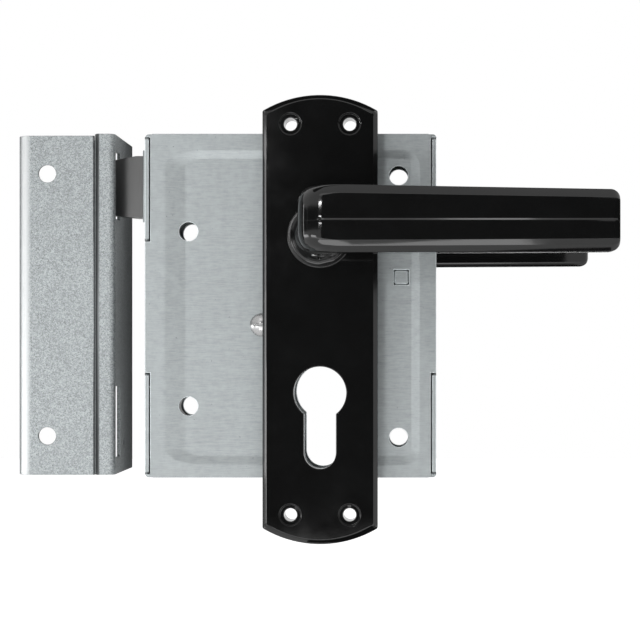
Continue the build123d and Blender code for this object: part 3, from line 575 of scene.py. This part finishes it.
# %% Lever measures
lever_low = low_mm("front_lever")
lever_high = high_mm("front_lever")
lever_face = -lever_low[1]
journal_end = -lever_high[1]
tip_x = lever_high[0]
mirror_sum = lever_low[1] + high_mm("rear_lever")[1]
ring_low = -high_mm("front_ring")[1]
ring_high = -low_mm("front_ring")[1]
bush_top = -low_mm("front_bush")[1]

spindle_half = 4.05
disc_radius = 9.9
grub_hole_radius = 2.52
outer_x = 4.5
neck_width = 13.0
grip_thickness = 11.0
elbow_outer = 8.5
elbow_inner = 5.0
tip_round = 3.0
foot_height = plate_front + 8.0
left_z = (16.0, 38.1)
right_z = (16.5, 36.4)
top_bevel = (2.8, 2.2)
low_bevel = (1.9, 0.7)
chin = (2.0, 1.9)
corner_round = 6.0
crown = 0.6
crown_end = 24.0
crown_fade = 10.0
crown_depth = 6.0
blend_start = 6.0
blend_end = 19.0
groove_z = 26.6
groove_width = 0.65
groove_depth = 0.2
print("lever face at height", round(lever_face, 2), "tip at x", round(tip_x, 2))


# %% [markdown]
# ## The lever's path and sections
# Seen from above, the bar is two lines that stay a thickness apart: straight down the
# neck, round the elbow, and straight to the tip. At each station a section is set across
# them. Two sections are mixed, a soft one for the neck and a bevelled one for the grip,
# which makes the bevels fade in as they do on a casting.


# %% Lever path
def lever_path():
    """The outer and inner edge of the bar seen from above, and what changes along it.

    Down the neck both edges run straight towards the room. In the elbow each follows a
    quarter circle of its own radius. Along the grip both run to the tip, and over the
    last stretch everything is drawn in by radius - sqrt(radius^2 - distance^2).
    """
    neck = np.linspace(0, 1, 5)[:-1]
    inner_x = outer_x + neck_width
    grip_back = lever_face - grip_thickness
    outer_start = lever_face - elbow_outer
    inner_start = grip_back - elbow_inner
    outer_height = foot_height + neck * (outer_start - foot_height)
    inner_height = foot_height + neck * (inner_start - foot_height)
    neck_outer = np.stack([np.full(4, outer_x), outer_height], -1)
    neck_inner = np.stack([np.full(4, inner_x), inner_height], -1)
    turn = np.linspace(0, np.pi / 2, 15)
    arc = np.stack([-np.cos(turn), np.sin(turn)], -1)
    elbow_o = np.array([outer_x + elbow_outer, outer_start]) + elbow_outer * arc
    elbow_i = np.array([inner_x + elbow_inner, inner_start]) + elbow_inner * arc
    run = np.concatenate([[0.01, 0.02, 0.035, 0.06], np.linspace(0.1, 1, 10)])
    end_x = tip_x - tip_round
    grip_o_x = elbow_o[-1, 0] + run * (end_x - elbow_o[-1, 0])
    grip_i_x = elbow_i[-1, 0] + run * (end_x - elbow_i[-1, 0])
    grip_outer = np.stack([grip_o_x, np.full(run.size, lever_face)], -1)
    grip_inner = np.stack([grip_i_x, np.full(run.size, grip_back)], -1)
    past = tip_round * np.sin(np.linspace(0, np.pi / 2, 9)[1:])
    tip_outer = np.stack([end_x + past, np.full(8, lever_face)], -1)
    tip_inner = np.stack([end_x + past, np.full(8, grip_back)], -1)
    outer = np.concatenate([neck_outer, elbow_o, grip_outer, tip_outer])
    inner = np.concatenate([neck_inner, elbow_i, grip_inner, tip_inner])
    drawn_in = np.zeros(len(outer))
    drawn_in[-8:] = tip_round - np.sqrt(np.maximum(tip_round**2 - past**2, 0))
    bend = np.concatenate([np.zeros(4), turn / (np.pi / 2), np.ones(run.size + 8)])
    return outer, inner, drawn_in, bend


def bar_sections(outer, inner, drawn_in, bend):
    """The bar's outline at every station, as rings of points.

    The grip's outline has one bevel above the face and two below it, a hairline groove
    and two plain corners at the back. The neck's has the same corners, but set on an arc:
    the corners of n tangents to a circle lie radius / cos(90 / 2n) from its centre. Both
    outlines are rounded and then mixed, from the elbow's edge to a little past it. Four
    points are put on each flat of the face, and the crown lifts its edges: crown x
    (distance from the middle / half the width) squared, fading along the grip.
    """
    width = np.linalg.norm(inner - outer, axis=1) - drawn_in
    share = (outer[:, 0] - outer_x) / (tip_x - outer_x)
    z0 = left_z[0] + share * (right_z[0] - left_z[0]) + drawn_in
    z1 = left_z[1] + share * (right_z[1] - left_z[1]) - drawn_in
    small = 1 - (2 - math.sqrt(2)) / 2.4 * drawn_in
    front = drawn_in / 2
    depth = 0.02 + (groove_depth - 0.02) * np.clip((bend - 0.9) / 0.1, 0, 1)
    depth = depth * np.clip(1 - drawn_in / 0.8, 0.07, 1)
    g0 = np.full(len(width), groove_z - groove_width / 2)
    g1 = g0 + groove_width
    groove = [(g0, 0), (g0 + 0.06, 1), (g0 + 0.14, 1), (g1, 0)]
    face = [(front + share_of_depth * depth, z) for z, share_of_depth in groove]
    grip = [
        (front + small * (low_bevel[1] + chin[1]), z0),
        (front + small * low_bevel[1], z0 + small * chin[0]),
        (front, z0 + small * (chin[0] + low_bevel[0])),
        *face,
        (front, z1 - small * top_bevel[0]),
        (front + small * top_bevel[1], z1),
        (width, z1),
        (width, z0),
    ]

    def on_arc(degrees, tangents, centre_z):
        reach = corner_round / math.cos(math.radians(45 / tangents))
        turn = math.radians(degrees)
        return front + corner_round + reach * math.cos(turn), centre_z + reach * math.sin(turn)

    neck = [
        *(on_arc(degrees, 3, z0 + corner_round) for degrees in (-105, -135, -165)),
        *face,
        *(on_arc(degrees, 2, z1 - corner_round) for degrees in (157.5, 112.5)),
        (width, z1),
        (width, z0),
    ]
    back = 1.6 * np.clip(1 - drawn_in / 6, 0.3, 1)

    def outline(points, low_round, top_round, back_round):
        radii = [low_round] * 3 + [0.04] * 4 + [top_round] * 2 + [back_round] * 2
        radii = np.stack([np.broadcast_to(r, width.shape) for r in radii], 1)
        return rounded(np.stack([np.stack(point, -1) for point in points], 1), radii)

    turned = np.clip((outer[:, 0] - blend_start) / (blend_end - blend_start), 0, 1)
    turned = (turned * turned * (3 - 2 * turned))[:, None, None]
    flat = outline(neck, corner_round, corner_round, 3.0) * (1 - turned)
    flat = flat + outline(grip, 0.5, 0.45, back) * turned
    past_low_corners = 3 * corner_steps - 1
    past_groove = past_low_corners + 4 * corner_steps
    for start in (past_groove, past_low_corners):
        share = np.linspace(0, 1, 6)[1:-1, None]
        between = flat[:, start, None] * (1 - share) + flat[:, start + 1, None] * share
        flat = np.concatenate([flat[:, :start + 1], between, flat[:, start + 1:]], 1)
    bulge = crown * np.clip((crown_end - outer[:, 0]) / crown_fade, 0, 1) ** 2
    reach = (2 * flat[..., 1] - (z0 + z1)[:, None]) / (z1 - z0)[:, None]
    fade = np.clip(1 - flat[..., 0] / crown_depth, 0, 1)
    flat[..., 0] += bulge[:, None] * reach**2 * fade
    across = (inner - outer) / np.linalg.norm(inner - outer, axis=1, keepdims=True)
    plan = outer[:, None, :] + across[:, None, :] * flat[..., :1]
    return np.stack([plan[..., 0], -plan[..., 1], flat[..., 1]], -1)


def lever_rings():
    """All rings of the lever: spindle hole, journal, base, neck, elbow, grip and tip."""
    bar = bar_sections(*lever_path())
    first = bar[0]
    angle = np.arctan2(first[:, 2] - axis_z, first[:, 0] - axis_x)
    round_x, round_z = np.cos(angle), np.sin(angle)
    square = 1 / np.maximum(np.abs(round_x), np.abs(round_z))
    disc_low, disc_top = bush_top + 0.15, bush_top + 1.75
    turned = [
        (8.1, journal_end), (8.4, journal_end + 0.3), (8.4, ring_low - 0.02),
        (7.7, ring_low - 0.02), (7.7, ring_high + 0.02), (8.4, ring_high + 0.02),
        (8.4, disc_low), (disc_radius - 0.3, disc_low), (disc_radius - 0.08, disc_low + 0.08),
        (disc_radius, disc_low + 0.3), (disc_radius, disc_top - 0.4),
        (disc_radius - 0.11, disc_top - 0.12), (disc_radius - 0.4, disc_top),
        (9.3, disc_top), (9.05, disc_top + 0.08),
    ]

    def ring(reach_x, reach_z, height):
        return np.stack([axis_x + reach_x, np.full(angle.size, -height), axis_z + reach_z], -1)

    rings = [
        ring(spindle_half * square * round_x, spindle_half * square * round_z, plate_front + 21),
        ring(spindle_half * square * round_x, spindle_half * square * round_z, journal_end),
    ]
    rings += [ring(r * round_x, r * round_z, h) for r, h in turned]
    neck_start = ring(9.0 * round_x, 9.0 * round_z, disc_top + 0.25)
    for share in np.linspace(0, 1, 9)[:-1]:
        ease = share**1.6
        blend = (1 - ease) * neck_start + ease * first
        blend[:, 1] = neck_start[0, 1] + share * (first[0, 1] - neck_start[0, 1])
        rings.append(blend)
    return np.concatenate([np.stack(rings), bar])


rings = lever_rings()
print("lever rings:", rings.shape)

# %% [markdown]
# ## The grub screw's hole
# A small screw under the neck holds the lever on the spindle. Its hole is the one place
# where the casting isn't a plain skin, so a Boolean modifier takes a round bar out of it,
# and the result is kept as the mesh. The bar itself is then deleted.


# %% Drill and place the levers
def drilled(piece, x, y, radius, z_low, z_high):
    """The piece with a round hole along Z, cut with a bar of 32 sides."""
    turn = np.linspace(0, 2 * np.pi, 32, endpoint=False)
    circle = np.stack([x + radius * np.cos(turn), y + radius * np.sin(turn)], -1)
    ends = [np.column_stack([circle, np.full(32, z)]) for z in (z_low, z_high)]
    bar = skin("drill", np.stack(ends))
    cut = piece.modifiers.new("hole", "BOOLEAN")
    cut.operation = "DIFFERENCE"
    cut.solver = "EXACT"
    cut.object = bar
    bpy.context.view_layer.update()
    graph = bpy.context.evaluated_depsgraph_get()
    mesh = bpy.data.meshes.new_from_object(piece.evaluated_get(graph))
    piece.modifiers.clear()
    piece.data = mesh
    mesh.set_sharp_from_angle(angle=math.radians(38))
    bpy.data.objects.remove(bar)
    return piece


mirrored = rings * np.array([1, -1, 1]) + np.array([0, mirror_sum, 0])
for node, shape in (("front_lever", rings), ("rear_lever", mirrored)):
    piece = skin(node + "_casting", shape)
    screw = node.replace("lever", "grub_screw")
    screw_y = (low_mm(screw)[1] + high_mm(screw)[1]) / 2
    below_disc = axis_z - 2 * disc_radius
    drilled(piece, axis_x, screw_y, grub_hole_radius, below_disc, axis_z - 4.1)
    piece.data.materials.clear()
    piece.data.materials.append(black_lacquer)
    dress(piece, node)

# %% [markdown]
# ## Turned rings
# The two bushes are turned or moulded rings. A ring is a closed profile of radius and
# height, spun round the lever's axis: row by row it is radius x cos, height, radius x sin.


# %% Turned rings
def turned_ring(name, profile, columns=96):
    """A ring from a closed profile of (radius, height above the door), spun once round."""
    turn = np.linspace(0, 2 * np.pi, columns, endpoint=False)
    radius, height = profile[:, :1], profile[:, 1:]
    x = axis_x + radius * np.cos(turn)
    z = axis_z + radius * np.sin(turn)
    return skin(name, np.stack([x, -height + 0 * x, z], -1), loop=True)


bush_corners = np.array([
    (8.46, bush_top - 3.8), (9.6, bush_top - 3.8), (9.6, plate_front),
    (11.0, plate_front), (11.0, bush_top), (8.46, bush_top),
])
bush_radii = np.array([0.15, 0.2, 0.05, 0.08, 0.42, 0.3])
bush_profile = rounded(bush_corners, bush_radii, 5)
rear_profile = bush_profile * np.array([1, -1]) + np.array([0, -mirror_sum])
for node, profile in (("front_bush", bush_profile), ("rear_bush", rear_profile)):
    piece = turned_ring(node + "_turned", profile)
    piece.data.materials.append(black_moulding)
    dress(piece, node)

# %% [markdown]
# ## Stage and light
# A plain pale floor under the lock and a white world stand in for a product table. The
# lock hangs on a door, so the floor lies well below it. Both show white to the camera and
# in reflections, and light the lock at a plain level. The world could be made brighter
# instead, but then the zinc would lose its own tone.


# %% Stage
def shows_background(tree):
    """1 for rays that look at the background: from the camera, mirrored or let through."""
    path = tree.nodes.new("ShaderNodeLightPath").outputs
    seen = path["Is Camera Ray"]
    for kind in ("Is Glossy Ray", "Is Transmission Ray"):
        larger = add(tree, "ShaderNodeMath", {0: seen, 1: path[kind]}, operation="MAXIMUM")
        seen = larger.outputs[0]
    return seen


floor_z = -150.0
floor_half = 1500.0
floor_corners = np.array([(-1, -1), (1, -1), (1, 1), (-1, 1)]) * floor_half
floor_sides = [np.column_stack([floor_corners, np.full(4, z)]) for z in (floor_z - 2, floor_z)]
floor = skin("floor", np.stack(floor_sides))
floor_material, tree, shader, place = start_material("pale_floor")
shader.inputs["Roughness"].default_value = 0.9
floor_tone = blend_colours(tree, noise(tree, place, 300.0), grey(0.8), grey(0.84))
tree.links.new(floor_tone, shader.inputs["Base Color"])
white = add(tree, "ShaderNodeEmission", {"Color": grey(1.0), "Strength": 0.8})
glow = add(tree, "ShaderNodeMixShader", {0: shows_background(tree), 2: white.outputs[0]})
both = add(tree, "ShaderNodeAddShader", {0: shader.outputs[0], 1: glow.outputs[0]})
tree.links.new(both.outputs[0], tree.nodes["Material Output"].inputs["Surface"])
floor.data.materials.append(floor_material)

world = bpy.data.worlds.new("studio")
bpy.context.scene.world = world
world.use_nodes = True
tree = world.node_tree
levels = {"Value": shows_background(tree), "To Min": 0.35, "To Max": 1.0}
strength = add(tree, "ShaderNodeMapRange", levels)
back = tree.nodes["Background"]
back.inputs["Color"].default_value = grey(1.0)
tree.links.new(strength.outputs[0], back.inputs["Strength"])
print("floor at z", round(floor_z, 2), "mm")

# %% [markdown]
# ## Lamps
# The bright edges of the real lock face left and down, so the main panels stand low on
# the left, and two lie on the table to light what faces down. A wide weak panel fills
# from above. Gloss black shows little but what it mirrors, so two small panels make the
# glints on the elbow.


# %% Lamps
def soft_panel(name, place_mm, aim_mm, width_mm, height_mm, watts):
    """A square lamp at one place that looks towards another."""
    data = bpy.data.lights.new(name, "AREA")
    data.shape = "RECTANGLE"
    data.size = width_mm * mm
    data.size_y = height_mm * mm
    data.energy = watts
    lamp = bpy.data.objects.new(name, data)
    bpy.context.scene.collection.objects.link(lamp)
    lamp.location = np.array(place_mm) * mm
    direction = Vector((np.array(aim_mm) - np.array(place_mm)) * mm)
    lamp.rotation_euler = direction.to_track_quat("-Z", "Y").to_euler()
    lamp.visible_camera = False
    return lamp


soft_panel("left_front", (-430, -480, -85), (-20, -10, -20), 260, 120, 0.59)
soft_panel("left_side", (-650, -120, -85), (-90, 0, 0), 300, 120, 0.6)
soft_panel("left_strip", (-700, 38, 19), (-10, -22, 0), 50, 258, 0.16)
soft_panel("table_front", (-4, -270, floor_z + 2), (-4, -270, 500), 212, 120, 0.3)
soft_panel("table_low", (-60, -500, floor_z + 2), (-60, -500, 500), 560, 160, 0.5)
soft_panel("fill_above", (0, -700, 640), (0, 0, 0), 700, 300, 0.6)
soft_panel("glint_high", (-127, -593, 124), (0, -40, 30), 100, 10, 0.22)
soft_panel("glint_low", (-127, -593, 57), (0, -40, 27), 90, 6, 0.11)

# %% [markdown]
# ## Black cards
# In a white room, gloss black turns grey. A photographer sets black cards round it, out
# of the picture, and leaves gaps where a bright line is wanted along a bevel. The cards
# here work the same way. They show in reflections alone, and throw no shadow.

# %% Black cards
card_material, tree, shader, place = start_material("black_card")
shader.inputs["Roughness"].default_value = 1.0
card_tone = blend_colours(tree, noise(tree, place, 60.0), grey(0.004), grey(0.01))
tree.links.new(card_tone, shader.inputs["Base Color"])


def black_card(name, corner, across, up):
    """A flat card from one corner and its two sides, seen in reflections alone."""
    corner, across, up = (np.array(v, float) for v in (corner, across, up))
    outline = np.stack([corner, corner + across, corner + across + up, corner + up])
    normal = np.cross(across, up)
    normal = normal / np.linalg.norm(normal)
    card = skin(name, np.stack([outline - normal, outline + normal]))
    card.data.materials.append(card_material)
    card.visible_camera = False
    card.visible_diffuse = False
    card.visible_shadow = False


card_z = floor_z + 1
band_z = 30.0
band = (0, 0, 100)
cards = {
    "card_above": ((-170, -60, 300), (340, 0, 0), (0, 110, 0)),
    "card_front": ((-110, -640, card_z), (295, 0, 0), (0, 0, 549)),
    "card_front_right": ((185, -640, band_z), (215, 0, 0), band),
    "card_front_low": ((-330, -640, band_z), (220, 0, 0), band),
    "card_left_front": ((-330, -640, band_z), (-370, 390, 0), band),
    "card_left": ((-740, -250, band_z), (0, 600, 0), band),
    "card_left_back": ((-740, 350, band_z), (290, 250, 0), band),
    "card_right_front": ((400, -640, band_z), (300, 390, 0), band),
    "card_right": ((700, -250, band_z), (0, 450, 0), band),
    "card_keep_edge": ((-600, 70, -140), (490, 0, 0), (0, 0, 280)),
    "card_gap": ((-46, 20, -110), (0, 240, 0), (0, 0, 220)),
    "card_under_front": ((-5, -68, card_z), (140, 0, 0), (0, 58, 0)),
    "card_under_edge": ((-5, 64, -30), (140, 0, 0), (0, 0, 45)),
    "card_under_back": ((-5, 20, card_z), (140, 0, 0), (0, 110, 0)),
}
for name, sides in cards.items():
    black_card(name, *sides)
bpy.context.scene.view_settings.view_transform = "Standard"
print("cards:", len(cards))
